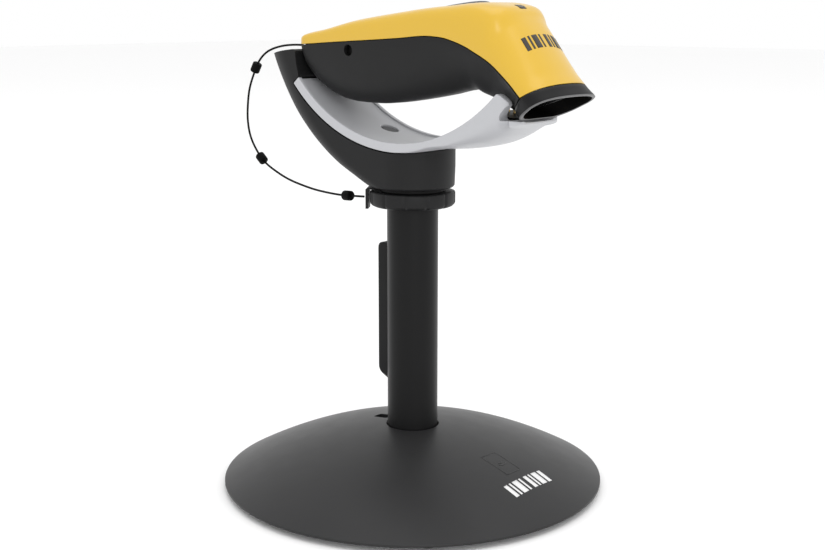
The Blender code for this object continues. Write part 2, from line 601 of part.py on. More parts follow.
def build_scanner(mat):
    top, bottom, bezel = build_shells(mat)

    combine(top, loft("button_hole", [ellipse_ring(195, GAP), ellipse_ring(230, GAP)], mat["yellow"]))
    rings = [ellipse_ring(202.6)]
    for shrink, rise in ((0, -0.6), (-0.5, 0.2), (-2, 0.9), (-4.5, 1.3), (-7, 1.45)):
        rings.append([Vector((v.x, v.y, crown_at(v.x) - 0.5 + rise * (1 + (v.x - BUTTON_X) / 28)
                              - (v.y / 9) ** 2 * 0.5)) for v in ellipse_ring(0, shrink)])
    button = loft("scan_button", rings, mat["grey"])
    combine(button, rod("stem", 2.0, 194.6, 204, mat["grey"], (BUTTON_X, 0)), "UNION")
    move_origin(button, (BUTTON_X, 0, 204))
    power_top = crown_at(POWER_X) - 0.4
    combine(top, rod("power_hole", POWER_R + GAP, 195, 215, mat["yellow"], (POWER_X, 0), 32))
    stem = ((0, 194.6), (1.2, 194.6), (1.2, 200.5), (POWER_R, 200.5), (POWER_R, power_top),
            (POWER_R - 0.5, power_top + 0.3), (0, power_top + 0.3))
    move_origin(lathe("power_button", stem, mat["grey"], centre=(POWER_X, 0, 0), segments=32),
                (POWER_X, 0, 200.5))
    block("scan_switch", (BUTTON_X - 3, -3, 190.4), (BUTTON_X + 3, 3, 193.4), mat["rubber"])
    block("power_switch", (POWER_X - 3, -3, 190.4), (POWER_X + 3, 3, 193.8), mat["rubber"])

    for name, grow, low, high, colour in (("led_hole", GAP, 200, 215, "yellow"),
                                          ("led_lens", 0, 205, 209.1, "glass")):
        outline = [(LED_X + x * (1.5 + grow), y * (2.1 + grow)) for x, y in
                   ((-1, -0.6), (-0.6, -1), (0.6, -1), (1, -0.6), (1, 0.6), (0.6, 1), (-0.6, 1), (-1, 0.6))]
        lens = loft(name, [[Vector((x, y, z)) for x, y in outline] for z in (low, high)], mat[colour])
        if grow:
            combine(top, lens)

    for i, (x, split) in enumerate(zip(SCREWS, (183.0, 183.0))):
        floor = FAN_Z + curve_at(BELLY, x) if x < FAN_X else 173.0
        roof = crown_at(x) - 1.2
        combine(bottom, tube_at("boss", 4.2, floor + 1.2, split - 4, mat["black"], x), "UNION")
        combine(top, tube_at("boss", 3.4, split, roof, mat["yellow"], x), "UNION")
        combine(bottom, rod("bore", 3.0, floor - 5, floor + 3.2, mat["black"], (x, 0)))
        combine(bottom, rod("bore", 1.6, floor - 5, split, mat["black"], (x, 0)))
        combine(top, rod("bore", 1.5, split - 5, split + 9, mat["yellow"], (x, 0)))
        screw = ((0, floor + 1.6), (2.4, floor + 1.6), (2.6, floor + 1.8), (2.6, floor + 2.9),
                 (1.2, floor + 2.9), (1.2, split + 7), (0, split + 7))
        lathe(f"shell_screw_{i + 1}", screw, mat["steel"], centre=(x, 0, 0), segments=24)

    turn = Matrix.Rotation(math.radians(90), 3, "X")
    combine(bottom, lathe("port", ((0, 10), (2.4, 10), (2.4, 30), (0, 30)), mat["black"],
                          centre=(PORT[0], 0, PORT[1]), segments=32, turn=turn))
    lathe("beeper", ((0, 11.2), (4.2, 11.2), (4.2, 14.4), (1.2, 14.4), (1.2, 13.8), (0, 13.8)),
          mat["rubber"], centre=(PORT[0], 0, PORT[1] - 0.7), segments=32, turn=turn)
    board = block("main_board", (-26, -13, 188.3), (37, 13, 189.9), mat["board"])
    combine(board, block("notch", (-30, -20, 180), (-15.6, -10.8, 195), mat["board"]))
    ease(block("battery", (-27, -8.5, 177), (13, 8.5, 186.5), mat["cell"]), 1.2, 3)

    sideways = Matrix.Rotation(math.radians(90), 3, "Y")
    lathe("vibration_motor", ((0, 22), (2.4, 22), (2.4, 31), (0.6, 31), (0.6, 34.6), (0, 34.6)),
          mat["steel"], centre=(0, 6, 183), segments=24, turn=sideways)
    half = [(0.9 * math.cos(math.radians(a)), 0.9 * math.sin(math.radians(a))) for a in range(180, -1, -30)]
    arc = [(2.6 * math.cos(math.radians(a)), 2.6 * math.sin(math.radians(a))) for a in range(0, 181, 15)]
    rings = [[Vector((x, 6 + y, 183 + z)) for y, z in arc + half] for x in (31.4, 34.4)]
    move_origin(loft("vibration_weight", rings, mat["steel"]), (32.9, 6, 183))

    window = body_solid("scan_window", mat["glass"], WALL + 2 * GAP)
    along, across, out, low = face_frame()
    slab = prism("slab", [(-30, -WINDOW_DEPTH - 1.2), (60, -WINDOW_DEPTH - 1.2), (60, -WINDOW_DEPTH),
                          (-30, -WINDOW_DEPTH)], -40, 40, mat["glass"], (along, across, out, low))
    combine(window, slab, "INTERSECT")
    face_block("scan_engine", (3, -11, -25), (13, 11, -13), mat["rubber"])
    _, _, _, corner = face_frame()
    tilt = Matrix((along, across, out)).transposed()
    lathe("engine_lens", ((0, -12.7), (3.2, -12.7), (3.2, -11.4), (2.4, -10.9), (0, -10.6)), mat["glass"],
          centre=corner + along * 8 - across * 4, segments=32, turn=tilt)
    lathe("aim_led", ((0, -12.7), (1.9, -12.7), (1.9, -11.6), (0, -10.8)), mat["led"],
          centre=corner + along * 8 + across * 5, segments=24, turn=tilt)

    for name, x, low_end in (("rear", CONTACTS[0], 171.0), ("front", CONTACTS[1], 169.7)):
        combine(bottom, rod("bore", 1.5, 160, 175.4, mat["black"], (x, 0)))
        rod(f"charge_contact_{name}", 1.2, low_end, 174.6, mat["gold"], (x, 0))
    combine(bottom, lathe("eye", ((0, 40), (2.2, 40), (2.2, 60), (0, 60)), mat["black"],
                          centre=(0, 0, EYELET_Z), segments=24,
                          turn=Matrix.Rotation(math.radians(-90), 3, "Y")))
    lathe("tether_eyelet", ((0, 47.8), (1.9, 47.8), (1.9, 51.3), (1.3, 51.6), (0, 51.6)), mat["steel"],
          centre=(0, 0, EYELET_Z), segments=24, turn=Matrix.Rotation(math.radians(-90), 3, "Y"))


def tube_at(name, r, low, high, mat, x):
    return rod(name, r, low, high, mat, (x, 0), 32)


def build_tether(mat):
    points = smooth_route(TETHER, 2.6)
    curve = bpy.data.curves.new("tether_wire", "CURVE")
    curve.dimensions = "3D"
    curve.bevel_depth = WIRE_R * MM
    curve.bevel_resolution = 2
    curve.resolution_u = 1
    curve.render_resolution_u = 0
    curve.use_fill_caps = True
    spline = curve.splines.new("POLY")
    spline.points.add(len(points) - 1)
    for target, p in zip(spline.points, points):
        target.co = (*(p * MM), 1.0)
    curve.materials.append(mat["wire"])
    wire = bpy.data.objects.new("tether_wire", curve)
    bpy.context.scene.collection.objects.link(wire)
    for i, share in enumerate(FERRULES):
        k = int(share * (len(points) - 1))
        axis = (points[k + 1] - points[k - 1]).normalized()
        turn = axis.to_track_quat("Z", "Y").to_matrix()
        profile = ((WIRE_R + GAP, -2.3), (1.9, -2.3), (2.2, -2.0), (2.2, 2.0), (1.9, 2.3), (WIRE_R + GAP, 2.3))
        lathe(f"tether_ferrule_{i + 1}", profile, mat["rubber"], centre=points[k], segments=24, turn=turn)


def main():
    clear_scene()
    mat = build_materials()
    build_base(mat)
    build_pole(mat)
    build_head(mat)
    build_scanner(mat)
    build_tether(mat)


main()
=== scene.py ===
import json
import math

import bmesh
import bpy
from mathutils import Matrix, Vector

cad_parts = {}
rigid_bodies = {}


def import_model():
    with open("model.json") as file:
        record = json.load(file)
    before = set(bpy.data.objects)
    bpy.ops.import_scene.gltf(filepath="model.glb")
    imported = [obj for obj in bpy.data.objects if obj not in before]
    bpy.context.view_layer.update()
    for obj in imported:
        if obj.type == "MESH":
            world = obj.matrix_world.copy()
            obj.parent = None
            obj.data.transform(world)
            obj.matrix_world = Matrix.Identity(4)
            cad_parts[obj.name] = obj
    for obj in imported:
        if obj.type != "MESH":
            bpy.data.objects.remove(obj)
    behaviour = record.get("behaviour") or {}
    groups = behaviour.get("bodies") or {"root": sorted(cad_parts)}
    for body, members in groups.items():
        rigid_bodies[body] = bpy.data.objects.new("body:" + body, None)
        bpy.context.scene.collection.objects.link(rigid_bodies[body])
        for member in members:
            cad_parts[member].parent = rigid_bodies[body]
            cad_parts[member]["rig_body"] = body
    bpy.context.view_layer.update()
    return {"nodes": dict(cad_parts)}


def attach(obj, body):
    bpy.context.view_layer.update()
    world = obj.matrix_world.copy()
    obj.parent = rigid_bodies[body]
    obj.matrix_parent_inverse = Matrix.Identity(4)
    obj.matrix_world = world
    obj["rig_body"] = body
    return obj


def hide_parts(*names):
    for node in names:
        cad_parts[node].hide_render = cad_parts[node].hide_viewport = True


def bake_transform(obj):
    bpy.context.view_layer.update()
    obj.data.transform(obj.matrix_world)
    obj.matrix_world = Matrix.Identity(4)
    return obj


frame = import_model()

# Lengths below are in millimetres, in the frame's axes.
MM = 0.001
GAP = 0.3
BASE_R = 84.0
RIM_R = 83.88
DOME_TOP = 25.9
DOME_EDGE = 3.4
DOME_WALL = 2.0
RIM_IN = 81.6
SYMBOL_X = 47.5
POLE_R = 11.1
POLE_TOP = 123.6
RING_R = 18.45
RING_LOW = 124.2
RING_TOP = 130.6
RING_LOBES = 12
TAB_TURN = -145.0
CUP_R = 18.45
CUP_BOTTOM = 132.3
CUP_TOP = 191.5
CUP_TAPER = 0.35
BORE_R = 8.0
ARC_X = 5.0
ARC_Z = 225.7
ARC_IN = 73.0
ARC_OUT = 77.2
ARC_BACK = -49.0
LINER_HALF = 18.5
ARM_GAP = 14.2
ARM_THICK = 4.2
LIP_FACE = -51.8
LINER_SCREW_TURN = 19.0
LINER_SCREW_Y = 7.0
FAN_X = 34.0
FAN_Z = 147.0
FACE_ANGLE = 29.7
BODY_END = FAN_X + 90.0 - FACE_ANGLE
WALL = 2.0
BEZEL_DEPTH = 5.5
BUTTON_X = 26.4
BUTTON_LONG = 13.5
BUTTON_WIDE = 9.0
POWER_X = 1.0
POWER_R = 3.5
LED_X = 55.4
KEY_FOOT = 194.6
REAR_SCREW_X = -33.0
FRONT_SCREW_X = 44.4
FRONT_SCREW_Z = 173.0
CONTACTS_X = (50.4, 53.8)
PORT = (-20.2, 190.2)
EYELET_Z = 189.9
WIRE_R = 0.5

# Body sections by station, as (station, value). The stations run along X up to FAN_X and then go on as
# degrees about the fan's centre. These eight tables were fitted to the photo's outlines by least squares,
# then rounded and smoothed.
BELLY = ((-51, 38.8), (-50.3, 36.6), (-48, 31.9), (-45, 28.5), (-42, 26.3), (-38, 24), (-31, 21.6),
         (-25, 20.7), (-14, 20.4), (-6.6, 20.9), (7.5, 22.8), (22.7, 25.5), (34, 27.9), (42, 28.5),
         (50.5, 27.8), (64, 28.4), (79, 30.6), (89, 33.4), (BODY_END, 35.3))
PARTING = ((-51, 45), (-25, 46.6), (-2, 47.9), (9, 48.6), (23, 49.6), (30, 49.2), (37, 47.9),
           (45.1, 46.55), (53.2, 45.4), (62.5, 44.9), (72.2, 44.5), (82.2, 44.8), (87.3, 45.3),
           (BODY_END, 46.95))
CROWN = ((-51, 48.4), (-50.3, 49.3), (-36, 52.2), (-18.7, 55.9), (-1.7, 58.3), (20, 60.9), (34, 62.1),
         (48.3, 64.5), (53.5, 65), (56, 64.2), (58, 62.9), (64, 60.1), (71, 57.7), (78, 56.1),
         (84, 55.4), (90, 55.4), (BODY_END, 56))
WIDTH = ((-51, 14.9), (-50.3, 16.1), (-48, 17), (-40, 17.6), (-25, 18.4), (0, 19), (34, 19.1),
         (55, 19), (70, 19.5), (82, 19.9), (BODY_END, 20.3))
KEEL = ((-51, 10.7), (-48, 13.2), (-38, 13.7), (-20, 14.3), (0, 13.5), (22, 12), (34, 11), (50, 9.5),
        (64, 8.5), (79, 9), (84, 9.2), (89, 11.3), (BODY_END, 13.3))
LOW_POWER = ((-51, 4.5), (-38, 4.2), (20, 2.8), (50, 3.2), (79, 4), (BODY_END, 7))
KEEL_POWER = ((-51, 1.7), (40, 1.2), (64, 0.8), (84, 0.8), (BODY_END, 1.5))
UP_POWER = ((-51, 6), (20, 6), (40, 5.4), (51, 4.4), (60, 2.5), (80, 2.1), (88, 2.3), (BODY_END, 2.8))

# Front of the liner by X: underside, half-width and rim. NOTCH is a closed outline of (x, z) points.
SCOOP = ((5, 148.5), (12, 148.82), (20, 149.97), (24, 150.7), (36, 151.5), (47, 153.5), (56, 157),
         (62, 160.8), (65.5, 163.2))
SCOOP_HALF = ((5, 18.5), (36, 18.5), (50, 18.4), (58, 18.2), (61.1, 17.9), (62.6, 16.8), (65.5, 12.2))
TIP_RIM = ((57.6, 175.2), (58.9, 174.8), (62.2, 172.6), (62.8, 171.6), (63.0, 165.0), (65.5, 164.4))
NOTCH = ((58.7, 164.8), (58.6, 165.7), (59.4, 167.3), (62.6, 171.0), (75, 171.0), (75, 164.8))
# Centre of the cup's rear half circle by height, traced from the photo through the fitted camera.
CUP_BACK = ((CUP_BOTTOM, 0), (133.2, -2), (137.3, -10.3), (141.6, -18.6), (147.3, -27.1),
            (154.6, -35.7), (164.2, -44.4), (177.7, -53), (186.6, -57.3), (192, -59.3))

# Middle line of the tether wire, the same points as in part.py. Most were traced from the photo through
# the fitted camera.
TETHER = ((-52.3, 0, 189.9), (-60, 0, 190), (-67, 0, 191.2), (-78, -0.5, 190.6), (-87.3, -0.9, 188.1),
          (-93.1, -1.4, 183.6), (-96.9, -1.9, 176.8), (-99.4, -2.5, 169.7), (-100.1, -3.2, 161.3),
          (-99.4, -3.9, 154.7), (-97.1, -4.6, 148.3), (-92.6, -5.4, 142.5), (-86.4, -6.2, 137.3),
          (-78.2, -7.1, 133.6), (-67.3, -8, 130.2), (-53.5, -8.9, 127.8), (-43.1, -9.9, 127),
          (-32.8, -10.9, 126.8), (-24, -11.6, 127.2), (-17.4, -12.1, 127.6))
# Places of the three ferrules, as shares of the wire's length.
FERRULES = (0.285, 0.57, 0.95)

# The camera, fitted to the photo. Its place is in metres, its angles are in degrees.
CAMERA_LENS = 56.05
CAMERA_PLACE = (0.3572, -0.4183, 0.2075)
CAMERA_TILT = 78.27
CAMERA_TURN = 40.5


# ---------------------------------------------------------------- materials

def node_material(name, colour, roughness, *, grain=900.0, grain_bump=0.15, vary=0.06, rough_vary=0.08,
                  metallic=0.0, coat=0.0, coat_rough=0.1, specular=0.5):
    """Moulded or painted surface: fine grain in the bump, slow drift in colour and roughness."""
    mat = bpy.data.materials.new(name)
    mat.use_nodes = True
    nodes, links = mat.node_tree.nodes, mat.node_tree.links
    shader = nodes["Principled BSDF"]
    shader.inputs["Metallic"].default_value = metallic
    shader.inputs["Coat Weight"].default_value = coat
    shader.inputs["Coat Roughness"].default_value = coat_rough
    shader.inputs["Specular IOR Level"].default_value = specular
    place = nodes.new("ShaderNodeTexCoord")

    slow = nodes.new("ShaderNodeTexNoise")
    slow.inputs["Scale"].default_value = 45.0
    slow.inputs["Detail"].default_value = 3.0
    links.new(place.outputs["Object"], slow.inputs["Vector"])
    tint = nodes.new("ShaderNodeMapRange")
    tint.inputs["To Min"].default_value = 1.0 - vary
    tint.inputs["To Max"].default_value = 1.0 + vary
    links.new(slow.outputs["Fac"], tint.inputs["Value"])
    paint = nodes.new("ShaderNodeVectorMath")
    paint.operation = "SCALE"
    paint.inputs[0].default_value = colour
    links.new(tint.outputs["Result"], paint.inputs["Scale"])
    links.new(paint.outputs["Vector"], shader.inputs["Base Color"])

    smear = nodes.new("ShaderNodeTexNoise")
    smear.inputs["Scale"].default_value = 120.0
    smear.inputs["Detail"].default_value = 4.0
    links.new(place.outputs["Object"], smear.inputs["Vector"])
    gloss = nodes.new("ShaderNodeMapRange")
    gloss.inputs["To Min"].default_value = roughness - rough_vary / 2
    gloss.inputs["To Max"].default_value = roughness + rough_vary / 2
    links.new(smear.outputs["Fac"], gloss.inputs["Value"])
    links.new(gloss.outputs["Result"], shader.inputs["Roughness"])

    fine = nodes.new("ShaderNodeTexNoise")
    fine.inputs["Scale"].default_value = grain
    fine.inputs["Detail"].default_value = 2.0
    links.new(place.outputs["Object"], fine.inputs["Vector"])
    bump = nodes.new("ShaderNodeBump")
    bump.inputs["Strength"].default_value = grain_bump
    bump.inputs["Distance"].default_value = 0.0001
    links.new(fine.outputs["Fac"], bump.inputs["Height"])
    links.new(bump.outputs["Normal"], shader.inputs["Normal"])
    return mat


MAT = {
    "base": node_material("base_satin", (0.021, 0.021, 0.0217), 0.4, grain=2200, grain_bump=0.12,
                          specular=0.28),
    "pole": node_material("pole_satin", (0.006, 0.006, 0.0063), 0.38, grain=1800, grain_bump=0.12,
                          specular=0.17),
    "black": node_material("black_plastic", (0.01, 0.01, 0.0104), 0.5, grain=1600, grain_bump=0.25,
                           specular=0.22),
    "cover": node_material("cover_black", (0.01, 0.01, 0.0103), 0.55, grain=1600, grain_bump=0.2,
                           specular=0.16),
    "handle": node_material("handle_black", (0.01, 0.01, 0.0104), 0.48, grain=1900, grain_bump=0.3,
                            specular=0.22),
    "bezel": node_material("bezel_dark_grey", (0.009, 0.009, 0.0095), 0.45, grain=1900, grain_bump=0.2,
                           specular=0.16),
    # Lighter copy of the bezel's dark grey for its front rim: a painted highlight of the light the rim
    # catches from the floor.
    "rim": node_material("bezel_rim_painted_highlight", (0.13, 0.13, 0.132), 0.4, grain=1900, grain_bump=0.2,
                         specular=0.3),
    # Near-black copy of the bezel's dark grey for the inside of the hood: painted shade in the recess.
    "inside": node_material("bezel_inside_painted_shade", (0.002, 0.002, 0.002), 0.6, grain=1900, grain_bump=0.2,
                            specular=0.05),
    "liner": node_material("liner_light_grey", (0.475, 0.48, 0.5), 0.34, grain=1500, grain_bump=0.08,
                           vary=0.02),
    "yellow": node_material("shell_yellow", (0.67, 0.415, 0.024), 0.3, grain=1400, grain_bump=0.06,
                            vary=0.02, coat=0.3, coat_rough=0.25),
    "grey": node_material("key_grey", (0.05, 0.052, 0.056), 0.55, grain=1500, grain_bump=0.3),
    "rubber": node_material("black_rubber", (0.012, 0.012, 0.012), 0.7, grain=900, grain_bump=0.4),
    "wire": node_material("wire_coat", (0.002, 0.002, 0.002), 0.5, grain=2500, grain_bump=0.2, specular=0.1),
    "sleeve": node_material("sleeve_black", (0.002, 0.002, 0.002), 0.6, grain=1200, grain_bump=0.3,
                            specular=0.08),
    "ink_dark": node_material("dark_print", (0.035, 0.03, 0.025), 0.45, grain=2500, grain_bump=0.05),
    "ink_white": node_material("white_print", (0.82, 0.82, 0.82), 0.5, grain=2500, grain_bump=0.05,
                               vary=0.02),
    "ink_black": node_material("black_print", (0.01, 0.01, 0.01), 0.45, grain=2500, grain_bump=0.05),
    "steel": node_material("brushed_steel", (0.55, 0.55, 0.57), 0.34, grain=1300, grain_bump=0.2,
                           metallic=1.0),
    "iron": node_material("cast_iron", (0.07, 0.07, 0.07), 0.75, grain=350, grain_bump=0.8, metallic=0.6),
    "gold": node_material("gold_contact", (0.9, 0.66, 0.28), 0.25, metallic=1.0),
    "board": node_material("board_green", (0.015, 0.12, 0.045), 0.45, grain=600, grain_bump=0.2),
    "cell": node_material("cell_wrap", (0.04, 0.1, 0.32), 0.35),
    "glass": node_material("window_dark", (0.004, 0.0035, 0.004), 0.08, grain_bump=0.0, rough_vary=0.02,
                           specular=0.08),
    "lens": node_material("status_window", (0.045, 0.042, 0.038), 0.3, grain_bump=0.02, specular=0.4),
    "led": node_material("led_blue", (0.06, 0.12, 0.42), 0.12, grain_bump=0.02, coat=0.6, coat_rough=0.05),
}


# ---------------------------------------------------------------- mesh helpers

def curve_at(table, x):
    """Reads a table with a smooth curve that never overshoots its points."""
    xs = [row[0] for row in table]
    ys = [row[1] for row in table]
    last = len(xs) - 1
    if x <= xs[0]:
        return ys[0]
    if x >= xs[last]:
        return ys[last]
    slopes = [(ys[i + 1] - ys[i]) / (xs[i + 1] - xs[i]) for i in range(last)]
    tangents = [slopes[0]]
    for i in range(1, last):
        product = slopes[i - 1] * slopes[i]
        tangents.append(2 * product / (slopes[i - 1] + slopes[i]) if product > 0 else 0.0)
    tangents.append(slopes[-1])
    i = max(j for j in range(last) if xs[j] <= x)
    step = xs[i + 1] - xs[i]
    t = (x - xs[i]) / step
    rise = (2 * t - 3) * t * t + 1
    return (rise * ys[i] + (1 - rise) * ys[i + 1]
            + step * (t * (1 - t) ** 2 * tangents[i] + t * t * (t - 1) * tangents[i + 1]))


def piece(name, verts, faces, mat, body=None, sharp=35.0):
    """Makes an object from a list of points in millimetres and a list of faces."""
    mesh = bpy.data.meshes.new(name)
    mesh.from_pydata([Vector(v) * MM for v in verts], [], faces)
    bm = bmesh.new()
    bm.from_mesh(mesh)
    bmesh.ops.recalc_face_normals(bm, faces=bm.faces)
    bm.to_mesh(mesh)
    bm.free()
    mesh.shade_smooth()
    mesh.set_sharp_from_angle(angle=math.radians(sharp))
    mesh.materials.append(MAT[mat])
    obj = bpy.data.objects.new(name, mesh)
    bpy.context.scene.collection.objects.link(obj)
    if body:
        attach(obj, body)
    return obj


def loft(name, rings, mat, body=None, closed=False, sharp=35.0):
    """Skins a row of rings; closed joins the last ring to the first, otherwise both ends are capped."""
    count = len(rings[0])
    verts = [v for ring in rings for v in ring]
    faces = []
    for i in range(len(rings) if closed else len(rings) - 1):
        a = i * count
        b = (i + 1) % len(rings) * count
        for j in range(count):
            k = (j + 1) % count
            faces.append((a + j, a + k, b + k, b + j))
    if not closed:
        faces.append(tuple(reversed(range(count))))
        faces.append(tuple(range(len(verts) - count, len(verts))))
    return piece(name, verts, faces, mat, body, sharp)


def lathe(name, profile, mat, body=None, centre=(0, 0, 0), segments=96, turn=None, radius=None, sharp=35.0):
    """Revolves a closed (radius, height) outline; radius(r, z, angle) may change each point's radius."""
    on_axis = profile[0][0] == 0
    outline = profile[1:-1] if on_axis else profile
    matrix = turn or Matrix.Identity(3)
    rings = []
    for i in range(segments):
        angle = 2 * math.pi * (i + 0.5) / segments
        ring = []
        for r, z in outline:
            wide = radius(r, z, angle) if radius else r
            ring.append(matrix @ Vector((wide * math.cos(angle), wide * math.sin(angle), z)) + Vector(centre))
        rings.append(ring)
    count = len(outline)
    verts = [v for ring in rings for v in ring]
    faces = []
    for i in range(segments):
        a = i * count
        b = (i + 1) % segments * count
        for j in range(count - 1):
            faces.append((a + j, b + j, b + j + 1, a + j + 1))
        if not on_axis:
            faces.append((a + count - 1, b + count - 1, b, a))
    if on_axis:
        first = len(verts)
        for end in (profile[0], profile[-1]):
            verts.append(matrix @ Vector((0, 0, end[1])) + Vector(centre))
        for i in range(segments):
            a = i * count
            b = (i + 1) % segments * count
            faces.append((first, b, a))
            faces.append((first + 1, a + count - 1, b + count - 1))
    return piece(name, verts, faces, mat, body, sharp)


def prism(name, outline, low, high, mat="black", frame_axes=None):
    """Extrudes an outline in the XZ plane along Y, or in the plane that frame_axes gives."""
    ax, ay, az, origin = frame_axes or (Vector((1, 0, 0)), Vector((0, 1, 0)), Vector((0, 0, 1)), Vector())
    rings = [[origin + ax * x + ay * y + az * z for x, z in outline] for y in (low, high)]
    return loft(name, rings, mat)


def rod(name, r, low, high, mat="black", centre=(0, 0), segments=64):
    """Upright cylinder between two heights."""
    return lathe(name, ((0, low), (r, low), (r, high), (0, high)), mat,
                 centre=(centre[0], centre[1], 0), segments=segments)


def combine(obj, other, operation="DIFFERENCE", sharp=35.0):
    """Applies an exact Boolean and removes the second object."""
    modifier = obj.modifiers.new("cut", "BOOLEAN")
    modifier.solver = "EXACT"
    modifier.operation = operation
    modifier.object = other
    bpy.context.view_layer.update()
    mesh = bpy.data.meshes.new_from_object(obj.evaluated_get(bpy.context.evaluated_depsgraph_get()))
    mat = obj.data.materials[0]
    obj.modifiers.clear()
    obj.data = mesh
    mesh.materials.clear()
    mesh.materials.append(mat)
    for polygon in mesh.polygons:
        polygon.material_index = 0
    bm = bmesh.new()
    bm.from_mesh(mesh)
    bmesh.ops.remove_doubles(bm, verts=bm.verts, dist=2e-6)
    bm.to_mesh(mesh)
    bm.free()
    mesh.shade_smooth()
    mesh.set_sharp_from_angle(angle=math.radians(sharp))
    bpy.data.objects.remove(other, do_unlink=True)
    return obj


def bevel(obj, width, segments=3, limit=40.0):
    """Rounds the edges that are sharper than the limit in degrees."""
    modifier = obj.modifiers.new("edge", "BEVEL")
    modifier.width = width * MM
    modifier.segments = segments
    modifier.limit_method = "ANGLE"
    modifier.angle_limit = math.radians(limit)
    modifier.harden_normals = True
    modifier.miter_outer = "MITER_ARC"
    return obj


def rounded(points, radius, steps=4):
    """Rounds the corners of a closed outline in 2-D."""
    out = []
    count = len(points)
    for i in range(count):
        p = Vector(points[i])
        a = (Vector(points[i - 1]) - p)
        b = (Vector(points[(i + 1) % count]) - p)
        reach = min(radius, a.length * 0.45, b.length * 0.45)
        start, end = p + a.normalized() * reach, p + b.normalized() * reach
        for k in range(steps + 1):
            t = k / steps
            out.append(tuple(start * (1 - t) ** 2 + p * 2 * t * (1 - t) + end * t * t))
    return out


# ---------------------------------------------------------------- camera, light and floor

def add_camera():
    data = bpy.data.cameras.new("camera")
    data.lens = CAMERA_LENS
    data.sensor_width = 36.0
    data.clip_start = 0.01
    obj = bpy.data.objects.new("camera", data)
    obj.location = CAMERA_PLACE
    obj.rotation_euler = (math.radians(CAMERA_TILT), 0, math.radians(CAMERA_TURN))
    bpy.context.scene.collection.objects.link(obj)
    bpy.context.scene.camera = obj


def area_light(name, location, target, size, power, colour=(1, 1, 1)):
    data = bpy.data.lights.new(name, "AREA")
    data.shape = "RECTANGLE"
    data.size, data.size_y = size
    data.energy = power
    data.color = colour
    obj = bpy.data.objects.new(name, data)
    obj.location = location
    aim = Vector(target) - Vector(location)
    obj.rotation_euler = aim.to_track_quat("-Z", "Y").to_euler()
    bpy.context.scene.collection.objects.link(obj)


def add_stage():
    bpy.context.scene.view_settings.view_transform = "Standard"
    world = bpy.data.worlds.new("studio")
    world.use_nodes = True
    background = world.node_tree.nodes["Background"]
    background.inputs["Color"].default_value = (1, 1, 1, 1)
    background.inputs["Strength"].default_value = 1.0
    bpy.context.scene.world = world
    mesh = bpy.data.meshes.new("floor")
    size = 6.0
    mesh.from_pydata([(-size, -size, 0), (size, -size, 0), (size, size, 0), (-size, size, 0)], [],
                     [(0, 1, 2, 3)])
    mat = node_material("floor_white", (0.96, 0.96, 0.96), 0.9, grain=300, grain_bump=0.0, vary=0.004)
    mesh.materials.append(mat)
    floor = bpy.data.objects.new("floor", mesh)
    bpy.context.scene.collection.objects.link(floor)
    area_light("overhead", (0.15, 0.1, 2.2), (0, 0, 0.1), (2.0, 2.0), 12)
    area_light("front", (1.3, -1.0, 0.7), (0, 0, 0.15), (0.5, 0.9), 4)


# ---------------------------------------------------------------- tether

def smooth_route(points, step):
    """Evenly spaced points on a Catmull-Rom curve through the route points, and the curve's length."""
    route = [Vector(p) for p in points]
    fine = []
    for i in range(len(route) - 1):
        a = route[max(i - 1, 0)]
        b, c = route[i], route[i + 1]
        d = route[min(i + 2, len(route) - 1)]
        for k in range(20):
            t = k / 20
            fine.append(0.5 * ((2 * b) + (c - a) * t + (2 * a - 5 * b + 4 * c - d) * t * t
                               + (3 * b - a - 3 * c + d) * t ** 3))
    fine.append(route[-1])
    total = sum((q - p).length for p, q in zip(fine, fine[1:]))
    count = round(total / step)
    spaced = [fine[0]]
    walked = 0.0
    for p, q in zip(fine, fine[1:]):
        span = (q - p).length
        while len(spaced) < count and walked + span >= total * len(spaced) / count:
            spaced.append(p.lerp(q, (total * len(spaced) / count - walked) / span))
        walked += span
    spaced.append(fine[-1])
    return spaced, total


def tube_mesh(name, points, r, mat, sides=14):
    rings = []
    side = Vector((0, 1, 0))
    for i, p in enumerate(points):
        ahead = points[min(i + 1, len(points) - 1)] - points[max(i - 1, 0)]
        ahead.normalize()
        side = (side - ahead * side.dot(ahead)).normalized()
        other = ahead.cross(side)
        rings.append([p + side * r * math.cos(2 * math.pi * k / sides)
                      + other * r * math.sin(2 * math.pi * k / sides) for k in range(sides)])
    return loft(name, rings, mat)


def add_tether():
    points, total = smooth_route(TETHER, 1.2)
    wire = tube_mesh("tether_wire_loop", points, 0.98 * WIRE_R, "wire")
    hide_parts("tether_wire")
    coarse, _ = smooth_route(TETHER, 2.6)
    sleeves = []
    for i, share in enumerate(FERRULES):
        k = int(share * (len(coarse) - 1))
        axis = (coarse[k + 1] - coarse[k - 1]).normalized()
        outline = [(WIRE_R + 0.05, -2.3), (1.7, -2.3), (1.95, -2.22), (2.12, -2.05), (2.2, -1.8), (2.2, 1.8),
                   (2.12, 2.05), (1.95, 2.22), (1.7, 2.3), (WIRE_R + 0.05, 2.3)]
        sleeve = lathe(f"ferrule_{i + 1}", outline, "sleeve", centre=coarse[k], segments=32,
                       turn=axis.to_track_quat("Z", "Y").to_matrix())
        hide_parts(f"tether_ferrule_{i + 1}")
        sleeves.append(sleeve)
    low, high = Vector((0, 0, 0.1285)), Vector((0, 0, 0.1895))
    for obj in [wire] + sleeves:
        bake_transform(obj)
        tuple(low)
        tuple(high)
    [c * MM for c in TETHER[0]]
    [list(p * MM) for p in points]


# ---------------------------------------------------------------- stand

def dome_height(r):
    """Height of the base cover's upper face at a radius."""
    return DOME_TOP - (DOME_TOP - DOME_EDGE) * (r * r - POLE_R ** 2) / (BASE_R ** 2 - POLE_R ** 2)


